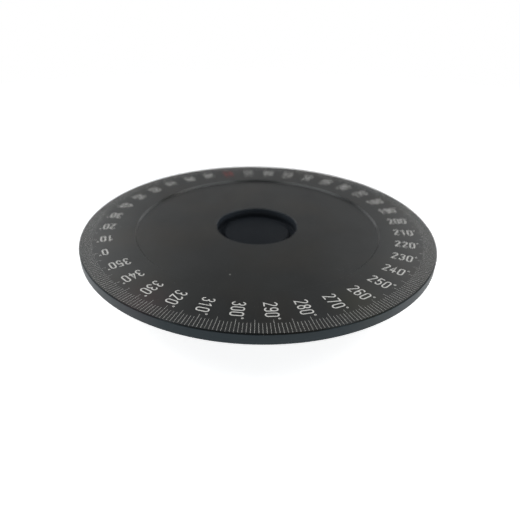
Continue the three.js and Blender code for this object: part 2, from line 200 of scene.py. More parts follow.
def circle(radius, z, sides):
    if radius == 0:
        return [(0, 0, z)]
    turn = 2 * math.pi / sides
    return [(radius * math.cos(i * turn), radius * math.sin(i * turn), z) for i in range(sides)]


def turned(name, profile, sides=192):
    """A solid turned about Z from [radius, height, fillet] points, anticlockwise."""
    closed = profile[0][0] != 0
    return loft(name, [circle(r, z, sides) for r, z in rounded(profile, closed)], closed)


def bar(radius, z0, z1, sides=32):
    return turned("tool", [[0, z0], [radius, z0], [radius, z1], [0, z1]], sides)


def prism(name, outline, z0, z1):
    """A solid with the same anticlockwise outline from z0 to z1."""
    n = len(outline)
    verts = [(x, y, z) for z in (z0, z1) for x, y in outline]
    faces = [[i, (i + 1) % n, n + (i + 1) % n, n + i] for i in range(n)]
    faces += [list(range(n))[::-1], list(range(n, 2 * n))]
    return make(name, verts, faces)


def hexagon(across_flats, z0, z1):
    return bar(across_flats / math.sqrt(3), z0, z1, 6)


def moved(obj, matrix):
    """Moves the mesh itself. The matrix is in millimetres."""
    scaled = matrix.copy()
    scaled.translation *= MM
    obj.data.transform(scaled)
    return obj


def shift(x=0.0, y=0.0, z=0.0):
    return Matrix.Translation((x, y, z))


def spin(angle, axis="Z"):
    return Matrix.Rotation(angle, 4, axis)


def on_circle(radius, angle):
    return spin(angle) @ shift(radius)


def outward(angle, z):
    """Turns a shape made along +Z to lie along a radius at an angle and height."""
    return shift(z=z) @ spin(angle) @ spin(math.pi / 2, "Y")


def bake(obj):
    """Applies the object's modifiers."""
    graph = bpy.context.evaluated_depsgraph_get()
    mesh = bpy.data.meshes.new_from_object(obj.evaluated_get(graph))
    obj.modifiers.clear()
    obj.data = mesh


def carve(obj, cutters, operation="DIFFERENCE"):
    """Joins, cuts or intersects with other objects, which are used up."""
    for cutter in cutters:
        modifier = obj.modifiers.new("carve", "BOOLEAN")
        modifier.operation = operation
        modifier.solver = "EXACT"
        modifier.object = cutter
    bake(obj)
    for cutter in cutters:
        bpy.data.objects.remove(cutter)
    return obj


def soften(obj, width, angle=30):
    """Small bevels on the sharp edges."""
    modifier = obj.modifiers.new("bevel", "BEVEL")
    modifier.width = width * MM
    modifier.segments = 2
    modifier.limit_method = "ANGLE"
    modifier.angle_limit = math.radians(angle)
    modifier.use_clamp_overlap = True
    bake(obj)
    return obj


def dress(obj, body, slot, material, *nodes):
    """Finishes a piece: smooth shading, material, the body it rides on and the nodes it stands for."""
    obj.data.materials.clear()
    obj.data.materials.append(material)
    obj.data.shade_smooth()
    obj.data.set_sharp_from_angle(angle=math.radians(35))
    weighted = obj.modifiers.new("normals", "WEIGHTED_NORMAL")
    weighted.keep_sharp = True
    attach(obj, body)
    if nodes:
        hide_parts(*nodes)
    return obj


# ---------------------------------------------------------------- materials
class Shader:
    """A node material with short ways to add nodes. Lengths in the patterns are millimetres."""

    def __init__(self, name):
        self.material = bpy.data.materials.new(name)
        self.material.use_nodes = True
        self.nodes = self.material.node_tree.nodes
        self.links = self.material.node_tree.links
        self.surface = self.nodes["Principled BSDF"]
        place = self.nodes.new("ShaderNodeTexCoord")
        scale = self.nodes.new("ShaderNodeVectorMath")
        scale.operation = "SCALE"
        scale.inputs["Scale"].default_value = 1 / MM
        self.links.new(place.outputs["Object"], scale.inputs[0])
        self.place = scale.outputs[0]

    def put(self, socket, value):
        target = self.surface.inputs[socket]
        if isinstance(value, bpy.types.NodeSocket):
            self.links.new(value, target)
        else:
            target.default_value = value

    def noise(self, size, detail=3, rough=0.5, where=None):
        """Noise whose blotches are about as large as size."""
        node = self.nodes.new("ShaderNodeTexNoise")
        node.inputs["Scale"].default_value = 1 / size
        node.inputs["Detail"].default_value = detail
        node.inputs["Roughness"].default_value = rough
        self.links.new(where or self.place, node.inputs["Vector"])
        return node.outputs["Fac"]

    def stretch(self, x, y, z):
        """The place, scaled along each axis."""
        node = self.nodes.new("ShaderNodeVectorMath")
        node.operation = "MULTIPLY"
        node.inputs[1].default_value = (x, y, z)
        self.links.new(self.place, node.inputs[0])
        return node.outputs[0]

    def off_axis(self):
        """Distance from the Z axis."""
        length = self.nodes.new("ShaderNodeVectorMath")
        length.operation = "LENGTH"
        self.links.new(self.stretch(1, 1, 0), length.inputs[0])
        return length.outputs["Value"]

    def radius(self):
        """Distance from the Z axis, as a place along X with the height along Z."""
        split = self.nodes.new("ShaderNodeSeparateXYZ")
        self.links.new(self.place, split.inputs[0])
        joined = self.nodes.new("ShaderNodeCombineXYZ")
        self.links.new(self.off_axis(), joined.inputs["X"])
        self.links.new(split.outputs["Z"], joined.inputs["Z"])
        return joined.outputs[0]

    def curve(self, value, low, high, to_low, to_high):
        """value taken from the range low..high to the range to_low..to_high."""
        node = self.nodes.new("ShaderNodeMapRange")
        for key, number in (("From Min", low), ("From Max", high), ("To Min", to_low), ("To Max", to_high)):
            node.inputs[key].default_value = number
        self.links.new(value, node.inputs["Value"])
        return node.outputs["Result"]

    def mix(self, first, second, amount):
        """Colour between two colours, the second one at an amount of 1."""
        node = self.nodes.new("ShaderNodeMix")
        node.data_type = "RGBA"
        self.links.new(amount, node.inputs["Factor"])
        for key, value in (("A", first), ("B", second)):
            target = next(s for s in node.inputs if s.name == key and s.type == "RGBA")
            if isinstance(value, bpy.types.NodeSocket):
                self.links.new(value, target)
            else:
                target.default_value = (*value, 1)
        return next(s for s in node.outputs if s.type == "RGBA")

    def add(self, first, second, share=1.0):
        """first + share * second."""
        node = self.nodes.new("ShaderNodeMath")
        node.operation = "MULTIPLY_ADD"
        self.links.new(second, node.inputs[0])
        node.inputs[1].default_value = share
        self.links.new(first, node.inputs[2])
        return node.outputs[0]

    def near(self, place, radius, core):
        """1 in the core of a ball round a place, falling to 0 at its radius."""
        node = self.nodes.new("ShaderNodeVectorMath")
        node.operation = "DISTANCE"
        node.inputs[1].default_value = place
        self.links.new(self.place, node.inputs[0])
        return self.curve(node.outputs["Value"], radius * core, radius, 1, 0)

    def times(self, first, second):
        node = self.nodes.new("ShaderNodeMath")
        node.operation = "MULTIPLY"
        self.links.new(first, node.inputs[0])
        self.links.new(second, node.inputs[1])
        return node.outputs[0]

    def bump(self, height, depth):
        """Bumps from a height of 0 to 1, depth in millimetres."""
        node = self.nodes.new("ShaderNodeBump")
        node.inputs["Strength"].default_value = 1
        node.inputs["Distance"].default_value = depth * MM
        self.links.new(height, node.inputs["Height"])
        self.links.new(node.outputs["Normal"], self.surface.inputs["Normal"])


def on_plate(reading, radius, height):
    """A place on the plate at rest, in millimetres."""
    angle = math.radians(ZERO_AT - reading)
    return radius * math.cos(angle), radius * math.sin(angle), height


BORE_PAINTED_LIGHT = (0.020, 0.024, 0.030)  # inside the bore: a lighter colour, painted light that brightens the bore's shaded walls
BARE_METAL = (0.30, 0.30, 0.29)
# painted reflection: the rim's reflections tinted bluish, as from a bluish surround
RIM_PAINTED_REFLECTION = (0.58, 0.78, 0.90)
PATCHES_OF_TINT_AND_PAINTED_LIGHT = (  # reading, distance from the axis, reach and colour of two faintly tinted, lighter patches; the one at reading 327 is painted light, a patch of reflected light
    (327, 93, 16, (0.016, 0.008, 0.009)),
    (264, 90, 18, (0.011, 0.011, 0.006)),
)


def between(s, inner, outer, soft):
    """1 between two distances from the axis, with soft ends inside them."""
    off_axis = s.off_axis()
    starts = s.curve(off_axis, inner, inner + soft, 0, 1)
    return s.times(starts, s.curve(off_axis, outer - soft, outer, 1, 0))


def plate_traces(s, skin, tints, wear):
    """The plate's own traces and painted light: a lighter skin in the bore that paints light into its shade,
    faintly tinted patches (one of them painted reflected light), a painted bluish reflection on the rim, a
    nick and scuffs.
    """
    # painted light: the bore's walls take the lighter colour, which brightens their shade
    skin = s.mix(skin, BORE_PAINTED_LIGHT, s.curve(s.off_axis(), BORE_R + 0.3, BORE_R + 0.1, 0, 1))
    # painted light: the patch at reading 327 is a lighter patch where light is reflected
    for reading, radius, reach, colour in PATCHES_OF_TINT_AND_PAINTED_LIGHT:
        skin = s.mix(skin, colour, s.near(on_plate(reading, radius, PLATE_TOP), reach, 0.2))
    # painted reflection: a bluish tint on the rim's reflections
    tints = s.mix(tints, RIM_PAINTED_REFLECTION, s.curve(s.off_axis(), PLATE_R - 0.4, PLATE_R - 0.2, 0, 1))
    wear = s.add(wear, s.near(on_plate(NICK_READING, NICK_R, RECESS_Z), 0.55, 0.7))
    scuffs = s.curve(s.noise(1.5, 4, 0.6, s.stretch(1, 2.4, 1)), 0.62, 0.70, 0, 1)
    here = s.near(on_plate(SCUFF_READING, SCUFF_R, RECESS_Z), 17, 0.4)
    return skin, tints, s.add(wear, s.times(scuffs, here), 0.18)


def anodised(name, low, high, warm, rough, shine, tint, plate=False):
    """Black anodised aluminium: a fine satin skin with faint blotches, turning marks and specks."""
    s = Shader(name)
    blotches = s.noise(26, 3)
    hue = s.curve(s.noise(34, 2, 0.4, s.stretch(1, 1, 3)), 0.44, 0.7, 0, 1)
    skin = s.mix(s.mix(low, high, s.curve(blotches, 0.3, 0.7, 0, 1)), warm, hue)
    wear = s.curve(s.noise(0.55, 1, 0.3), 0.80, 0.86, 0, 1)
    tints = s.mix(tint, (1.0, 0.98, 0.94), hue)
    smears = s.noise(9, 4, 0.6, s.stretch(1, 0.35, 1))
    skin_rough = s.curve(smears, 0.3, 0.7, rough - 0.02, rough + 0.03)
    if plate:
        skin, tints, wear = plate_traces(s, skin, tints, wear)
        step = between(s, RECESS_R - 0.9, RECESS_R, 0.09)
        bevel = between(s, PLATE_R - 0.6, PLATE_R - 0.06, 0.055)
        skin_rough = s.add(s.add(skin_rough, step, 0.22 - rough), bevel, 0.2 - rough)
    s.put("Base Color", s.mix(skin, BARE_METAL, s.curve(wear, 0, 1, 0, 0.6)))
    s.put("Specular Tint", tints)
    s.put("Roughness", skin_rough)
    s.put("Specular IOR Level", s.curve(blotches, 0.3, 0.7, shine * 0.92, shine * 1.06))
    turning = s.noise(0.35, 2, 0.5, s.radius())
    grain = s.noise(0.16, 2)
    s.bump(s.add(grain, turning, 0.35), 0.004)
    return s.material


def steel(name, colour, rough, grain_axis):
    """Ground steel with fine lines along one axis and faint oil blotches."""
    s = Shader(name)
    lines = s.noise(0.25, 3, 0.6, s.stretch(*grain_axis))
    oil = s.noise(8, 2)
    dark = [c * 0.78 for c in colour]
    s.put("Base Color", s.mix(dark, colour, s.curve(lines, 0.3, 0.7, 0, 1)))
    s.put("Metallic", 1.0)
    s.put("Roughness", s.add(s.curve(lines, 0.3, 0.7, rough - 0.05, rough + 0.08), oil, 0.1))
    s.bump(lines, 0.003)
    return s.material


def plain(name, colour, rough, metallic, grain, depth, contrast=0.3):
    """A surface with one grain size: rubber, plastic, oxide, felt or brass."""
    s = Shader(name)
    fine = s.noise(grain, 4, 0.6)
    broad = s.noise(grain * 18, 2)
    dark = [c * (1 - contrast) for c in colour]
    s.put("Base Color", s.mix(dark, colour, s.curve(s.add(fine, broad, 0.6), 0.55, 1.05, 0, 1)))
    s.put("Metallic", metallic)
    s.put("Roughness", s.curve(broad, 0.3, 0.7, rough - 0.06, rough + 0.06))
    s.bump(fine, depth)
    return s.material


# painted light: a lighter copy of the dark anodising for the hub, which lies in the shade of the bore
hub_anodised_painted_light = anodised(
    "hub_anodised_painted_light", (0.010, 0.0125, 0.016), (0.014, 0.017, 0.021), BORE_PAINTED_LIGHT,
    0.48, 0.2, (0.80, 0.92, 1),
)
black_anodised = anodised(
    "black_anodised", (0.005, 0.0056, 0.0058), (0.0072, 0.008, 0.008), (0.0085, 0.0083, 0.0070),
    0.38, 0.5, (0.96, 1.0, 1.0), True
)
dark_anodised = anodised(
    "dark_anodised", (0.005, 0.0068, 0.0095), (0.007, 0.0092, 0.0125), (0.006, 0.0078, 0.0105),
    0.48, 0.12, (0.80, 0.92, 1.0)
)
ground_steel = steel("ground_steel", (0.55, 0.555, 0.56), 0.28, (1, 1, 6))
polished_steel = steel("polished_steel", (0.66, 0.67, 0.68), 0.12, (1, 1, 4))
black_oxide = plain("black_oxide", (0.035, 0.035, 0.038), 0.42, 0.6, 0.3, 0.004)
brass = plain("brass", (0.69, 0.53, 0.27), 0.3, 1.0, 0.4, 0.003, 0.15)
rubber = plain("rubber", (0.02, 0.02, 0.02), 0.75, 0.0, 0.3, 0.01)
felt = plain("felt", (0.30, 0.29, 0.27), 0.95, 0.0, 0.22, 0.12, 0.45)
nylon = plain("nylon", (0.62, 0.56, 0.44), 0.5, 0.0, 0.5, 0.006, 0.12)
knob_plastic = plain("knob_plastic", (0.018, 0.018, 0.019), 0.42, 0.0, 0.18, 0.012)
white_paint = plain("white_paint", (0.69, 0.69, 0.665), 0.6, 0.0, 0.2, 0.006, 0.18)
red_paint = plain("red_paint", (0.34, 0.07, 0.065), 0.6, 0.0, 0.2, 0.006, 0.18)


# ---------------------------------------------------------------- the dial plate and its scale
def mark_angle(reading):
    return math.radians(ZERO_AT - reading)


class Solids:
    """Several closed solids gathered into one mesh."""

    def __init__(self):
        self.verts = []
        self.faces = []

    def add(self, points, faces, matrix):
        first = len(self.verts)
        self.verts += [tuple(matrix @ Vector(p)) for p in points]
        self.faces += [[first + c for c in face] for face in faces]

    def object(self, name):
        obj = make(name, self.verts, self.faces)
        work = bmesh.new()
        work.from_mesh(obj.data)
        bmesh.ops.delete(work, geom=[v for v in work.verts if not v.link_faces], context="VERTS")
        work.to_mesh(obj.data)
        work.free()
        return obj


def radial_prism(section, inner, outer):
    """(points, faces) of a prism along X with a section of anticlockwise [across, up] points."""
    n = len(section)
    points = [(x, y, z) for x in (inner, outer) for y, z in section]
    faces = [[i, (i + 1) % n, n + (i + 1) % n, n + i] for i in range(n)]
    return points, faces + [list(range(n))[::-1], list(range(n, 2 * n))]


def marks(section, inset, outer):
    """A prism at every degree, the fifth and tenth ones longer."""
    solids = Solids()
    for reading in range(360):
        inner = LONG_MARK_R if reading % 5 == 0 else SHORT_MARK_R
        turn = spin(mark_angle(reading)) @ shift(z=PLATE_TOP)
        solids.add(*radial_prism(section, inner - inset, outer), turn)
    return solids


def arc(cx, cy, rx, ry, start, end, steps=10):
    """Points of an elliptic arc between two angles in degrees."""
    angles = [math.radians(start + (end - start) * k / steps) for k in range(steps + 1)]
    return [(cx + rx * math.cos(a), cy + ry * math.sin(a)) for a in angles]


def digit_strokes():
    """The centre lines of each digit, in a cell FIGURE_W wide and FIGURE_H high. True marks a closed line."""
    w = FIGURE_W
    h = FIGURE_H
    r = w / 2
    low = 0.27 * h  # half height of the lower bowl
    top = h / 2 - low  # half height of the upper bowl
    top_c = h - top
    bowl = arc(r, low, r, low, 90, -160, 14)
    six_loop = arc(r, 0.28 * h, r, 0.28 * h, 0, 360, 24)[:-1]
    six_tail = [(0, 0.28 * h), (0, h - r)] + arc(r, h - r, r, r, 180, 20)[1:]
    five_top = [(0.94 * w, h), (0.12 * w, h), (0.05 * w, 0.52 * h)]
    five_bowl = arc(r, 0.31 * h, r, 0.31 * h, 130, -155, 14)

    def flip(path):
        return [(w - x, h - y) for x, y in path]

    return {
        "0": [(arc(r, h - r, r, r, 0, 180) + arc(r, r, r, r, 180, 360), True)],
        "1": [([(0.12 * w, h - 1.25), (0.62 * w, h - 0.15), (0.62 * w, 0)], False)],
        "2": [(arc(r, h - r, r, r, 165, -35) + [(0.02 * w, 0.0), (w, 0.0)], False)],
        "3": [(arc(r, top_c, r * 0.94, top, 160, -90, 14), False), (bowl, False)],
        "4": [([(w, 0.27 * h), (-0.08 * w, 0.27 * h), (0.66 * w, h), (0.66 * w, 0)], False)],
        "5": [(five_top, False), (five_bowl, False)],
        "6": [(six_loop, True), (six_tail, False)],
        "7": [([(0, h), (w, h), (0.32 * w, 0)], False)],
        "8": [
            (arc(r, low, r, low, 0, 360, 24)[:-1], True),
            (arc(r, top_c, r * 0.9, top, 0, 360, 24)[:-1], True),
        ],
        "9": [(flip(six_loop), True), (flip(six_tail), False)],
    }


def ribbon(path, closed, width):
    """Polygons that cover a stroke with mitred bends and, at open ends, round caps."""
    points = [Vector(p) for p in path]
    n = len(points)
    sides = []
    for i, here in enumerate(points):
        before = points[i - 1] if closed or i else None
        after = points[(i + 1) % n] if closed or i < n - 1 else None
        inward = (here - before).normalized() if before else (after - here).normalized()
        onward = (after - here).normalized() if after else inward
        along = (inward + onward).normalized()
        normal = Vector((-along.y, along.x))
        lean = max(0.55, abs(along.dot(inward)))
        sides.append((here + normal * width / 2 / lean, here - normal * width / 2 / lean))
    spans = n if closed else n - 1
    shapes = []
    for i in range(spans):
        j = (i + 1) % n
        shapes.append([sides[i][0], sides[i][1], sides[j][1], sides[j][0]])
    if not closed:
        for end in (points[0], points[-1]):
            shapes.append([end + Vector(p) for p in arc(0, 0, width / 2, width / 2, 0, 324, 9)])
    return shapes


def solid_strokes(strokes, width, low, high):
    """(points, faces) of one flat closed solid that covers the strokes, between two heights."""
    corners = []
    shapes = []
    for path, closed in strokes:
        for shape in ribbon(path, closed, width):
            shapes.append(list(range(len(corners), len(corners) + len(shape))))
            corners += shape
    flat, _, faces, _, _, source = delaunay_2d_cdt(corners, [], shapes, 0, 1e-4)
    kept = [face for face, origin in zip(faces, source) if origin]
    edges = {(face[i - 1], face[i]) for face in kept for i in range(len(face))}
    rim = [(a, b) for a, b in edges if (b, a) not in edges]
    n = len(flat)
    verts = [(p.x, p.y, z) for z in (low, high) for p in flat]
    solid = [list(face)[::-1] for face in kept]
    solid += [[c + n for c in face] for face in kept]
    solid += [[a, b, b + n, a + n] for a, b in rim]
    return verts, solid


def figures(readings, wider, low, high):
    """The figures at tenth marks, read outwards, and their degree signs."""
    strokes = digit_strokes()
    glyphs = {d: solid_strokes(lines, FIGURE_STROKE + wider, low, high) for d, lines in strokes.items()}
    ring = arc(0, 0, DEGREE_RING_R, DEGREE_RING_R, 0, 360, 16)[:-1]
    degree = solid_strokes([(ring, True)], DEGREE_STROKE + wider, low, high)
    centred = shift(-FIGURE_W / 2, -FIGURE_H / 2)
    solids = Solids()
    for reading in readings:
        here = spin(mark_angle(reading)) @ shift(0, FIGURE_SHIFT, PLATE_TOP)
        solids.add(*degree, here @ shift(DEGREE_R, DEGREE_UP))
        for place, digit in enumerate(reversed(str(reading))):
            solids.add(*glyphs[digit], here @ shift(FIGURE_R - place * FIGURE_PITCH) @ centred)
    return solids


def dial_plate():
    """The turned plate with its engraving, and the paint in the engraving."""
    edge = 0.12
    step = PLATE_BOTTOM + REGISTER_H + 0.3
    plate = turned(
        "graduated_plate",
        [
            [REGISTER_R, PLATE_BOTTOM, edge],
            [PLATE_R - PLATE_EDGE, PLATE_BOTTOM, edge],
            [PLATE_R, PLATE_BOTTOM + PLATE_EDGE, edge],
            [PLATE_R, PLATE_TOP - TOP_EDGE, edge],
            [PLATE_R - TOP_EDGE, PLATE_TOP, edge],
            [RECESS_R, PLATE_TOP, 0.1],
            [RECESS_R - PLATE_TOP + RECESS_Z, RECESS_Z, 0.1],
            [BORE_R + BORE_EDGE, RECESS_Z],
            [BORE_R, RECESS_Z - BORE_EDGE],
            [BORE_R, step, edge],
            [REGISTER_R, step],
        ],
        360,
    )
    v_groove = [[-MARK_WIDTH, MARK_DEPTH], [0, -MARK_DEPTH], [MARK_WIDTH, MARK_DEPTH]]
    half = MARK_WIDTH / 2
    filling = [[-half, -FIGURE_DEPTH], [half, -FIGURE_DEPTH]]
    filling += [[half, -MARKS_FILLED_TO], [-half, -MARKS_FILLED_TO]]
    tens = range(0, 360, 10)
    white = [reading for reading in tens if reading != RED_READING]
    cutters = [
        marks(v_groove, 0, PLATE_R + 1).object("mark_cutters"),
        figures(tens, 0, -FIGURE_DEPTH, FIGURE_DEPTH).object("figure_cutters"),
    ]
    dress(carve(plate, cutters), "platter", "black_anodised", black_anodised, "dial_plate")
    depths = -FIGURE_DEPTH, -FIGURES_FILLED_TO
    paint = (
        ("scale_marks", marks(filling, 0.02, PLATE_R - TOP_EDGE - 0.05), white_paint),
        ("scale_figures", figures(white, 0.03, *depths), white_paint),
        ("scale_figures_red", figures([RED_READING], 0.03, *depths), red_paint),
    )
    for name, solids, material in paint:
        dress(solids.object(name), "platter", "black_anodised", material)


dial_plate()


# ---------------------------------------------------------------- screws
def threaded(radius, pitch, z0, z1):
    """Profile points of a threaded stretch: a V groove for each pitch."""
    depth = 0.55 * pitch
    turns = int((z1 - z0) / pitch)
    points = []
    for k in range(turns):
        z = z0 + k * pitch
        points += [[radius, z], [radius, z + 0.2 * pitch], [radius - depth, z + 0.6 * pitch]]
    return points + [[radius, z0 + turns * pitch]]


def countersunk(name, thread_r, head_r, length, socket, pitch):
    """A countersunk socket screw along Z with its flat face at 0."""
    neck = 0.3 + head_r - thread_r
    profile = [[0, 0], [head_r - 0.15, 0], [head_r, 0.15], [head_r, 0.3], [thread_r, neck]]
    profile += threaded(thread_r, pitch, neck + 0.4, length - 0.6)
    profile += [[thread_r, length - 0.5], [thread_r - 0.5, length], [0, length]]
    return carve(turned(name, profile, 48), [hexagon(socket, -1, head_r - thread_r)])


def cap_screw(name, thread_r, length, socket, pitch):
    """A socket cap screw along Z with the underside of its head at 0 and a knurled head."""
    head_r = 1.75 * thread_r
    head_h = 2 * thread_r
    sides = 96
    knurl = [0.12 * (i % 3 == 0) for i in range(sides)]

    def knurled(z):
        ring = circle(1, z, sides)
        return [(x * (head_r - k), y * (head_r - k), z) for (x, y, _), k in zip(ring, knurl)]

    shank = [[0, -length], [thread_r - 0.4, -length], [thread_r, 0.4 - length]]
    shank += threaded(thread_r, pitch, 0.6 - length, -1.5) + [[thread_r, -1.2], [thread_r, 0]]
    rings = [circle(r, z, sides) for r, z in rounded(shank, False)]
    rings += [circle(head_r - 0.3, 0, sides), knurled(0.3), knurled(head_h - 0.7)]
    rings += [circle(head_r - 0.12, head_h - 0.45, sides), circle(head_r - 0.5, head_h, sides)]
    rings += [circle(0, head_h, sides)]
    return carve(loft(name, rings), [hexagon(socket, head_h / 2, head_h + 1)])


def centre_of(node):
    low, high = extent(node)
    return [(a + b) / 2 for a, b in zip(low, high)]


def place_screws(nodes, master, z):
    """Copies of a screw under each node, turned a little differently."""
    for i, node in enumerate(nodes):
        x, y, _ = centre_of(node)
        obj = master.copy()
        obj.data = master.data.copy()
        obj.name = f"{node}_threaded"
        bpy.context.scene.collection.objects.link(obj)
        moved(obj, shift(x, y, z) @ spin(0.7 * i))
        body = "platter" if node.startswith("plate") else "base"
        dress(obj, body, "black_oxide", black_oxide, node)
    bpy.data.objects.remove(master)


plate_screws = [f"plate_screw_{i}" for i in range(1, 7)]
spindle_bolts = [f"spindle_bolt_{i}" for i in range(1, 5)]
place_screws(plate_screws, countersunk("m4", 2, 4, 10, 2.5, 0.7), extent("plate_screw_1")[0][2])
place_screws(spindle_bolts, countersunk("m5", 2.5, 5, 14, 3, 0.8), extent("spindle_bolt_1")[0][2])
spindle_screw = countersunk("spindle_screw_threaded", 3, 6, 15, 4, 1.0)
moved(spindle_screw, shift(z=extent("spindle_screw")[1][2]) @ spin(math.pi, "X"))
dress(spindle_screw, "base", "black_oxide", black_oxide, "spindle_screw")


# ---------------------------------------------------------------- hub, cap and bearing
def hub():
    seat = BEARING_R + 0.05
    register = REGISTER_R - 0.15
    well = BORE_R + 0.2
    plug = 15.1
    web = WASHER_TOP + 1
    under = extent("plate_screw_1")[0][2] - 0.15
    obj = turned(
        "hub_turned",
        [
            [seat, HUB_LOW[2], 0.3],
            [DRUM_R - 0.8, HUB_LOW[2], 0.2],
            [DRUM_R, HUB_LOW[2] + 0.8, 0.2],
            [DRUM_R, under, 0.6],
            [FLANGE_R - 0.4, under, 0.1],
            [FLANGE_R, under + 0.4, 0.1],
            [FLANGE_R, PLATE_BOTTOM - 0.4, 0.1],
            [FLANGE_R - 0.4, PLATE_BOTTOM, 0.1],
            [register, PLATE_BOTTOM],
            [register, HUB_HIGH[2] - 0.25, 0.1],
            [register - 0.25, HUB_HIGH[2], 0.1],
            [well, HUB_HIGH[2], 0.15],
            [well, WELL_FLOOR, 0.5],
            [plug, WELL_FLOOR],
            [plug, web],
            [BEARING_R - 3, web, 0.3],
            [BEARING_R - 3, BEARING_TOP],
            [seat, BEARING_TOP, 0.2],
            [seat, BEARING_BOTTOM],
            [BEARING_R + 2.2, BEARING_BOTTOM],
            [BEARING_R + 2.2, BEARING_BOTTOM - 2.1],
            [seat, BEARING_BOTTOM - 2.1],
        ],
    )
    holes = []
    for node in plate_screws:
        x, y, _ = centre_of(node)
        hole = [[0, under - 1], [4.3, under - 1], [4.3, under + 0.5], [2.3, under + 2.5]]
        hole += [[2.3, PLATE_BOTTOM + 1], [0, PLATE_BOTTOM + 1]]
        holes.append(moved(turned("hole", hole, 32), shift(x, y)))
    dress(carve(obj, holes), "platter", "dark_anodised", hub_anodised_painted_light, "hub")


def dust_cap():
    low = CAP_LOW[2]
    plug = 14.8
    neck = plug - 1.3
    groove_top = WELL_FLOOR - 0.4
    obj = turned(
        "dust_cap_turned",
        [
            [0, low],
            [plug - 0.3, low, 0.1],
            [plug, low + 0.6],
            [neck, low + 0.6, 0.1],
            [neck, groove_top, 0.1],
            [plug, groove_top],
            [plug, WELL_FLOOR],
            [CAP_R, WELL_FLOOR],
            [CAP_R, CAP_HIGH[2] - 0.8, 0.3],
            [CAP_R - 0.8, CAP_HIGH[2], 0.5],
            [0, CAP_HIGH[2]],
        ],
        160,
    )
    dress(obj, "platter", "dark_anodised", dark_anodised, "dust_cap")


def torus(name, radius, thickness, z, sides=128):
    section = arc(radius, z, thickness, thickness, 0, 360, 20)[:-1]
    return loft(name, [circle(r, h, sides) for r, h in section], True)


def groove(side, direction):
    """Profile points of a ball groove between its two shoulders."""
    sweep = math.pi / 2 - math.asin(LAND / GROOVE_R)
    steps = 12
    points = []
    for k in range(steps + 1):
        a = direction * (sweep - 2 * sweep * k / steps)
        points.append([BALL_CIRCLE_R + side * GROOVE_R * math.cos(a), BEARING_MID + GROOVE_R * math.sin(a)])
    return points


def bearing():
    outer_land = BALL_CIRCLE_R + LAND
    seat = outer_land + 0.9
    step = 1.6
    outer = turned(
        "bearing_outer_ground",
        [
            [seat, BEARING_BOTTOM, 0.15],
            [BEARING_R, BEARING_BOTTOM, 0.8],
            [BEARING_R, BEARING_TOP, 0.8],
            [seat, BEARING_TOP, 0.15],
            [seat, BEARING_TOP - step],
            [outer_land, BEARING_TOP - step],
            *groove(1, 1),
            [outer_land, BEARING_BOTTOM + step],
            [seat, BEARING_BOTTOM + step],
        ],
    )
    dress(outer, "platter", "bearing_steel", polished_steel, "bearing_outer_ring")
    inner_land = BALL_CIRCLE_R - LAND
    inner = turned(
        "bearing_inner_ground",
        [
            [BEARING_BORE_R, BEARING_BOTTOM, 0.8],
            [inner_land, BEARING_BOTTOM, 0.3],
            *groove(-1, -1),
            [inner_land, BEARING_TOP, 0.3],
            [BEARING_BORE_R, BEARING_TOP, 0.8],
        ],
    )
    dress(inner, "base", "bearing_steel", polished_steel, "bearing_inner_ring")
    for node in ("bearing_seal_upper", "bearing_seal_lower"):
        low, high = extent(node)
        inner_r = inner_land + 0.3
        outer_r = seat - 0.05
        profile = [[inner_r, 0.35, 0.1], [inner_r + 0.9, 0.15, 0.1]]
        profile += [[outer_r - 0.6, 0, 0.1], [outer_r, 0.2, 0.15]]
        lower = [[r, low[2] + z, fillet] for r, z, fillet in profile]
        upper = [[r, high[2] - z, fillet] for r, z, fillet in profile]
        seal = turned(f"{node}_moulded", lower + upper[::-1])
        dress(seal, "platter", "rubber", rubber, node)


def ball_cage():
    low, high = extent("bearing_cage")
    half = 1.2
    cage = turned(
        "bearing_cage_moulded",
        [
            [BALL_CIRCLE_R - half, low[2], 0.3],
            [BALL_CIRCLE_R + half, low[2], 0.3],
            [BALL_CIRCLE_R + half, high[2], 0.3],
            [BALL_CIRCLE_R - half, high[2], 0.3],
        ],
        168,
    )
    pockets = []
    for i in range(BALLS):
        angle = 2 * math.pi * i / BALLS
        pocket = bar(BALL_R + 0.15, BALL_CIRCLE_R - 3, BALL_CIRCLE_R + 3, 40)
        pockets.append(moved(pocket, outward(angle, BEARING_MID)))
        node = f"ball_{i + 1:02d}"
        rings = [circle(r, z, 40) for r, z in arc(0, 0, BALL_R, BALL_R, -90, 90, 20)[1:-1]]
        ball = loft(f"{node}_ground", [[(0, 0, -BALL_R)]] + rings + [[(0, 0, BALL_R)]])
        moved(ball, shift(z=BEARING_MID) @ on_circle(BALL_CIRCLE_R, angle))
        dress(ball, "ball_cage", "bearing_steel", polished_steel, node)
    dress(carve(cage, pockets), "ball_cage", "nylon", nylon, "bearing_cage")


def snap_ring():
    low, high = extent("snap_ring")
    inner = BEARING_R - 1.6
    outer = BEARING_R + 2.05
    half_gap = 9
    outline = arc(0, 0, outer, outer, half_gap, 360 - half_gap, 120)
    outline += arc(0, 0, inner, inner, 360 - half_gap, half_gap, 120)
    ring = prism("snap_ring_stamped", outline, low[2], high[2])
    eyes = []
    holes = []
    for side in (-1, 1):
        at = on_circle(inner - 0.4, math.radians(side * (half_gap + 2.6)))
        eyes.append(moved(bar(2.05, low[2], high[2]), at))
        holes.append(moved(bar(0.9, low[2] - 1, high[2] + 1), at))
    carve(ring, eyes, "UNION")
    carve(ring, holes)
    dress(ring, "platter", "black_oxide", black_oxide, "snap_ring")


hub()
dust_cap()
middle = (extent("cap_o_ring")[0][2] + extent("cap_o_ring")[1][2]) / 2
dress(torus("cap_o_ring_moulded", 14.25, 0.55, middle), "platter", "rubber", rubber, "cap_o_ring")
bearing()
ball_cage()
snap_ring()


# ---------------------------------------------------------------- base and spindle
INDEX_AT = mark_angle(RED_READING)
INDEX_FLAT = 62
INDEX_SCREW_Z = 10
INDEX_SCREW_Y = 4.6


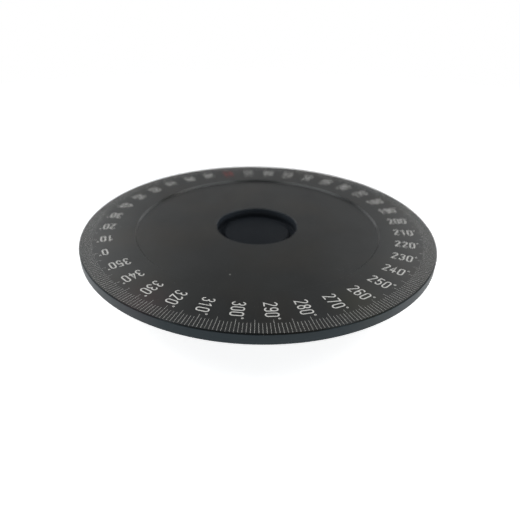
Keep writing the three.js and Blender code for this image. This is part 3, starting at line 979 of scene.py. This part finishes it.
def base_housing():
    groove_in = WALL_INNER_R + 1.4
    groove_out = WALL_INNER_R + 4.6
    groove_z = BASE_TOP - 1.5
    obj = turned(
        "base_turned",
        [
            [0, 0],
            [BASE_R - 1, 0, 0.3],
            [BASE_R, 1, 0.3],
            [BASE_R, BASE_TOP - 1, 0.3],
            [BASE_R - 1, BASE_TOP, 0.3],
            [groove_out, BASE_TOP, 0.15],
            [groove_out, groove_z],
            [groove_in, groove_z],
            [groove_in, BASE_TOP, 0.15],
            [WALL_INNER_R, BASE_TOP, 0.2],
            [WALL_INNER_R, FLOOR_T, 0.8],
            [0, FLOOR_T],
        ],
    )
    tools = []
    for node in spindle_bolts:
        x, y, _ = centre_of(node)
        hole = [[0, -1], [5.3, -1], [5.3, 0.5], [2.8, 3], [2.8, FLOOR_T + 1], [0, FLOOR_T + 1]]
        tools.append(moved(turned("hole", hole, 32), shift(x, y)))
    for i in range(4):
        angle = math.radians(112.5 + 90 * i)
        hole = [[0, -1], [4, -1], [2.5, 0.5], [2.5, 11], [0, 12.4]]
        tools.append(moved(turned("hole", hole, 32), on_circle(58.5, angle)))
    mouth = [[0, 52], [4.3, 52], [4.3, 58.5], [3.3, 58.5]]
    mouth += [[3.3, BASE_R - 0.6], [4.2, BASE_R + 0.3], [4.2, 66], [0, 66]]
    tools.append(moved(turned("hole", mouth, 40), outward(LOCK_AT, LOCK_Z)))
    flat = prism("flat", [(INDEX_FLAT, -11), (72, -11), (72, 11), (INDEX_FLAT, 11)], -1, BASE_TOP + 1)
    tools.append(moved(flat, spin(INDEX_AT)))
    for side in (-1, 1):
        drill = moved(bar(2.2, 55, 63, 24), outward(0, INDEX_SCREW_Z))
        tools.append(moved(drill, spin(INDEX_AT) @ shift(y=side * INDEX_SCREW_Y)))
    dress(carve(obj, tools), "base", "black_anodised", black_anodised, "base_housing")


def spindle():
    shoulder = BALL_CIRCLE_R - LAND - 0.6
    seat = BEARING_BORE_R - 0.05
    post = turned(
        "spindle_post_ground",
        [
            [0, FLOOR_T],
            [37, FLOOR_T, 0.2],
            [37, BEARING_BOTTOM - 1, 0.4],
            [shoulder, BEARING_BOTTOM - 1],
            [shoulder, BEARING_BOTTOM, 0.1],
            [seat, BEARING_BOTTOM],
            [seat, BEARING_TOP - 1.5, 0.2],
            [seat - 1, BEARING_TOP - 0.5, 0.2],
            [0, BEARING_TOP - 0.5],
        ],
    )
    tools = [bar(3.3, BEARING_BOTTOM - 1, BEARING_TOP)]
    for node in spindle_bolts:
        x, y, _ = centre_of(node)
        tools.append(moved(bar(2.8, FLOOR_T - 1, 16), shift(x, y)))
    dress(carve(post, tools), "base", "ground_steel", ground_steel, "spindle_post")
    washer = turned(
        "clamp_washer_ground",
        [
            [3.8, BEARING_TOP],
            [shoulder, BEARING_TOP, 0.1],
            [shoulder, WASHER_TOP, 0.6],
            [6.3, WASHER_TOP, 0.1],
            [6.3, WASHER_TOP - 0.5],
        ],
        128,
    )
    dress(washer, "base", "ground_steel", ground_steel, "clamp_washer")


def felt_ring():
    """A pressed felt ring whose faces are slightly uneven."""
    low, high = extent("dust_seal")
    inner = WALL_INNER_R + 1.5
    outer = WALL_INNER_R + 4.5
    ring = turned(
        "felt_ring",
        [[inner, low[2], 0.3], [outer, low[2], 0.3], [outer, high[2], 0.7], [inner, high[2], 0.7]],
        360,
    )
    source = random.Random(7)
    for v in ring.data.vertices:
        if v.co.z > (low[2] + 2) * MM:
            v.co.z -= source.uniform(0, 0.12) * MM
    dress(ring, "base", "felt", felt, "dust_seal")


base_housing()
spindle()
felt_ring()


# ---------------------------------------------------------------- the brake
def along_lock(obj):
    return moved(obj, outward(LOCK_AT, LOCK_Z))


PAD_FACE = DRUM_R + 0.55
PAD_BACK = PAD_FACE + 5.4
KNOB_BACK = 92
KNOB_T = 14
COLLAR = 4


def brake_pad():
    pad = turned(
        "brake_pad_turned",
        [[0, PAD_FACE], [4, PAD_FACE, 0.4], [4, PAD_BACK, 0.3], [0, PAD_BACK]],
        64,
    )
    dress(along_lock(pad), "brake_slide", "brass", brass, "brake_pad")


def lock_screw():
    """M6 x 1 with a real helical thread between two plain ends."""
    pitch = 1.0
    radius = 3.0
    depth = 0.58
    start = PAD_BACK + 0.1
    end = KNOB_BACK + 7.5
    sides = 36
    per_turn = 8
    count = int((end - start) * per_turn / pitch)
    rings = [[(0, 0, start)], circle(radius - 0.9, start, sides)]
    for k in range(1, count):
        z = start + k * pitch / per_turn
        fade = min(1, (z - start) / 1.2, (end - z) / 1.2)
        ring = []
        for i in range(sides):
            a = 2 * math.pi * i / sides
            phase = (z / pitch - i / sides) % 1
            cut = depth * max(0, 1 - abs(phase - 0.5) / 0.42)
            r = (radius - cut) * (0.8 + 0.2 * fade) if z - start < 1.2 else radius - cut * max(0, fade)
            ring.append((r * math.cos(a), r * math.sin(a), z))
        rings.append(ring)
    rings += [circle(radius - 0.4, end, sides), [(0, 0, end)]]
    screw = along_lock(loft("lock_screw_threaded", rings))
    dress(screw, "brake_screw", "ground_steel", ground_steel, "lock_screw")


def lock_knob():
    """A six-lobed moulded grip with a collar, a bore and a dished face."""
    sides = 180
    lobes = 6
    back = KNOB_BACK

    def lobed(z, inset):
        ring = []
        for i in range(sides):
            a = 2 * math.pi * i / sides
            wave = math.cos(lobes * a)
            r = 10.0 + 0.85 * wave - 0.22 * wave * wave - inset
            ring.append((r * math.cos(a), r * math.sin(a), z))
        return ring

    collar = [(0, 8), (3.3, 8), (3.3, 0.3 - COLLAR), (3.6, -COLLAR), (6.0, -COLLAR)]
    collar += [(6.35, 0.15 - COLLAR), (6.5, 0.5 - COLLAR), (6.5, -0.5), (6.65, -0.15), (7.0, 0)]
    rings = [circle(r, back + z, sides) for r, z in collar]
    curve = 1.5
    for k in range(5):
        a = math.pi / 2 * k / 4
        rings.append(lobed(back + curve * (1 - math.cos(a)), curve * (1 - math.sin(a))))
    for k in range(5):
        a = math.pi / 2 * k / 4
        rings.append(lobed(back + KNOB_T - curve * (1 - math.sin(a)), curve * (1 - math.cos(a))))
    face = back + KNOB_T
    dish = [(7.6, 0), (7.3, 0.08), (6.9, 0.45), (5.5, 0.75), (2.5, 0.85), (0, 0.85)]
    rings += [circle(r, face - d, sides) for r, d in dish]
    knob = along_lock(loft("lock_knob_moulded", rings))
    dress(knob, "brake_screw", "knob_plastic", knob_plastic, "lock_knob")


brake_pad()
lock_screw()
lock_knob()


# ---------------------------------------------------------------- the index
def index_bracket():
    """A bent strip: up the base's flat, out under the plate and up beside its rim."""
    low, high = extent("index_bracket")
    inner = INDEX_FLAT + 0.3
    sheet = 3
    reach = 104.5
    arm = 16
    tip = high[2]
    side = rounded(
        [
            [inner, low[2], 0.3],
            [inner + sheet, low[2], 0.3],
            [inner + sheet, arm, 0.4],
            [reach, arm, 2.4],
            [reach, tip, 0.3],
            [reach - 2, tip, 0.2],
            [reach - sheet, tip - 1, 0.2],
            [reach - sheet, arm + sheet, 0.4],
            [inner, arm + sheet, 2.4],
        ],
        True,
        4,
    )
    strip = prism("index_bent", [(x, z) for x, z in side], -10, 10)
    moved(strip, spin(math.pi / 2, "X"))
    left = [[inner - 1, 9.5], [inner + 5, 9.5, 2], [inner + 14, 6, 8], [reach + 1, 4.5]]
    right = [[x, -y, *fillet] for x, y, *fillet in left]
    plan = rounded(right + left[::-1], True, 6)
    carve(strip, [prism("plan", plan, 0, tip + 5)], "INTERSECT")
    holes = [moved(bar(2.2, inner - 1, inner + 5, 32), shift(y=s * INDEX_SCREW_Y) @ outward(0, INDEX_SCREW_Z))
             for s in (-1, 1)]
    carve(strip, holes)
    soften(strip, 0.25, 40)
    moved(strip, spin(INDEX_AT))
    dress(strip, "base", "ground_steel", ground_steel, "index_bracket")
    ends = reach - 2.0, reach - 0.3
    outline = [(ends[0], -0.15), (ends[1], -0.15), (ends[1], 0.15), (ends[0], 0.15)]
    line = prism("index_line", outline, tip - 0.02, tip + 0.02)
    moved(line, spin(INDEX_AT))
    dress(line, "base", "black_oxide", rubber)


def index_screws():
    for number, side in ((1, -1), (2, 1)):
        screw = cap_screw(f"index_screw_{number}_knurled", 2, 9, 3, 0.7)
        moved(screw, shift(y=side * INDEX_SCREW_Y) @ outward(0, INDEX_SCREW_Z) @ shift(z=INDEX_FLAT + 3.4))
        moved(screw, spin(INDEX_AT))
        dress(screw, "base", "black_oxide", black_oxide, f"index_screw_{number}")


index_bracket()
index_screws()


# ---------------------------------------------------------------- floor, light and camera
FLOOR_LIFT = 0.8  # keeps the pale ground from going grey
FLOOR_GLOW = 0.25  # light that the ground gives by itself
GROUND_FADES = (0.22, 0.75)  # metres from the axis over which the ground fades to plain white


def floor():
    """A pale ground that fades to the white of the surround, so that no horizon shows."""
    size = 8.0
    corners = [(-size, -size, 0), (size, -size, 0), (size, size, 0), (-size, size, 0)]
    mesh = bpy.data.meshes.new("floor")
    mesh.from_pydata(corners, [], [(0, 1, 2, 3)])
    obj = bpy.data.objects.new("floor", mesh)
    bpy.context.scene.collection.objects.link(obj)
    s = Shader("pale_floor")
    s.put("Base Color", (0.86, 0.865, 0.87, 1))
    s.put("Roughness", 0.9)
    s.put("Specular IOR Level", 0.1)
    s.put("Emission Color", (1, 1, 1, 1))
    seen = s.nodes.new("ShaderNodeLightPath").outputs["Is Camera Ray"]
    s.put("Emission Strength", s.curve(seen, 0, 1, FLOOR_GLOW, FLOOR_LIFT))
    distance = s.nodes.new("ShaderNodeVectorMath")
    distance.operation = "LENGTH"
    s.links.new(s.place, distance.inputs[0])
    fade = s.curve(distance.outputs["Value"], GROUND_FADES[0] / MM, GROUND_FADES[1] / MM, 0, 1)
    white = s.nodes.new("ShaderNodeEmission")
    both = s.nodes.new("ShaderNodeMixShader")
    only_seen = s.nodes.new("ShaderNodeMath")
    only_seen.operation = "MULTIPLY"
    s.links.new(fade, only_seen.inputs[0])
    s.links.new(seen, only_seen.inputs[1])
    s.links.new(only_seen.outputs[0], both.inputs["Fac"])
    s.links.new(s.surface.outputs[0], both.inputs[1])
    s.links.new(white.outputs[0], both.inputs[2])
    s.links.new(both.outputs[0], s.nodes["Material Output"].inputs["Surface"])
    obj.data.materials.append(s.material)


def world():
    """A pale surround, white to the camera, that fades from the horizon upwards."""
    w = bpy.data.worlds.new("studio")
    bpy.context.scene.world = w
    w.use_nodes = True
    nodes = w.node_tree.nodes
    links = w.node_tree.links
    place = nodes.new("ShaderNodeTexCoord")
    split = nodes.new("ShaderNodeSeparateXYZ")
    links.new(place.outputs["Generated"], split.inputs[0])
    ramp = nodes.new("ShaderNodeValToRGB")
    stops = ramp.color_ramp.elements
    stops[0].position = 0.0
    stops[0].color = (0.56, 0.56, 0.56, 1)
    stops[1].position = 0.9
    stops[1].color = (0.03, 0.032, 0.035, 1)
    for height, grey in ((0.3, 0.55), (0.45, 0.39), (0.54, 0.30), (0.68, 0.09)):
        stops.new(height).color = (grey, grey, grey, 1)
    links.new(split.outputs["Z"], ramp.inputs["Fac"])
    seen = nodes.new("ShaderNodeLightPath")
    choose = nodes.new("ShaderNodeMix")
    choose.data_type = "RGBA"
    links.new(seen.outputs["Is Camera Ray"], choose.inputs["Factor"])
    colours = [socket for socket in choose.inputs if socket.type == "RGBA"]
    links.new(ramp.outputs["Color"], colours[0])
    colours[1].default_value = (1, 1, 1, 1)
    mixed = next(socket for socket in choose.outputs if socket.type == "RGBA")
    links.new(mixed, nodes["Background"].inputs["Color"])


def softbox(name, azimuth, elevation, distance, width, height, power, colour=(1, 1, 1)):
    """An area light that faces the plate. Azimuth 0 is behind the plate, on +Y, and 90 on +X."""
    data = bpy.data.lights.new(name, "AREA")
    data.shape = "RECTANGLE"
    data.size = width
    data.size_y = height
    data.energy = power
    data.color = colour
    obj = bpy.data.objects.new(name, data)
    bpy.context.scene.collection.objects.link(obj)
    a = math.radians(azimuth)
    e = math.radians(elevation)
    way = Vector((math.sin(a) * math.cos(e), math.cos(a) * math.cos(e), math.sin(e)))
    obj.location = Vector((0, 0, 0.03)) + way * distance
    obj.rotation_mode = "QUATERNION"
    obj.rotation_quaternion = way.to_track_quat("Z", "Y")
    obj.visible_camera = False


def camera():
    """The camera of a close product picture: a little above, near side in focus."""
    elevation = math.radians(26.34)
    distance = 275.25
    target = Vector((-6.9, 0, PLATE_TOP - 24.95))
    roll = math.radians(0.404)
    place = Vector((0, -distance * math.cos(elevation), PLATE_TOP + distance * math.sin(elevation)))
    ahead = (target - place).normalized()
    right = ahead.cross(Vector((0, 0, 1))).normalized()
    up = right.cross(ahead)
    tilted_right = right * math.cos(roll) + up * math.sin(roll)
    tilted_up = up * math.cos(roll) - right * math.sin(roll)
    data = bpy.data.cameras.new("camera")
    data.sensor_width = 36
    data.lens = 32.39
    data.shift_x = 0.0291
    data.clip_start = 0.01
    data.clip_end = 50
    data.dof.use_dof = True
    data.dof.focus_distance = 0.206
    data.dof.aperture_fstop = 8.0
    obj = bpy.data.objects.new("camera", data)
    bpy.context.scene.collection.objects.link(obj)
    turned_to = Matrix((tilted_right, tilted_up, -ahead)).transposed().to_4x4()
    obj.matrix_world = Matrix.Translation(place * MM) @ turned_to
    bpy.context.scene.camera = obj


floor()
world()
softbox("high_left", -98, 58, 1.2, 0.9, 0.7, 6)
softbox("high_right", 98, 58, 1.2, 0.9, 0.7, 5.5)
softbox("behind_left", -38, 24, 1.5, 0.7, 0.7, 2)
softbox("behind_right", 38, 24, 1.5, 0.7, 0.7, 2)
softbox("low_left", -100, 5, 1.3, 1.2, 0.2, 5, (0.80, 0.92, 1))
softbox("low_right", 106, 5, 1.3, 1.2, 0.2, 5.5, (0.80, 0.92, 1))
softbox("back_right", 27, 45, 1.4, 0.4, 0.35, 0.3)
softbox("back_left", -30, 42, 1.4, 0.4, 0.35, 0.45)
camera()
bpy.context.scene.view_settings.view_transform = "Standard"
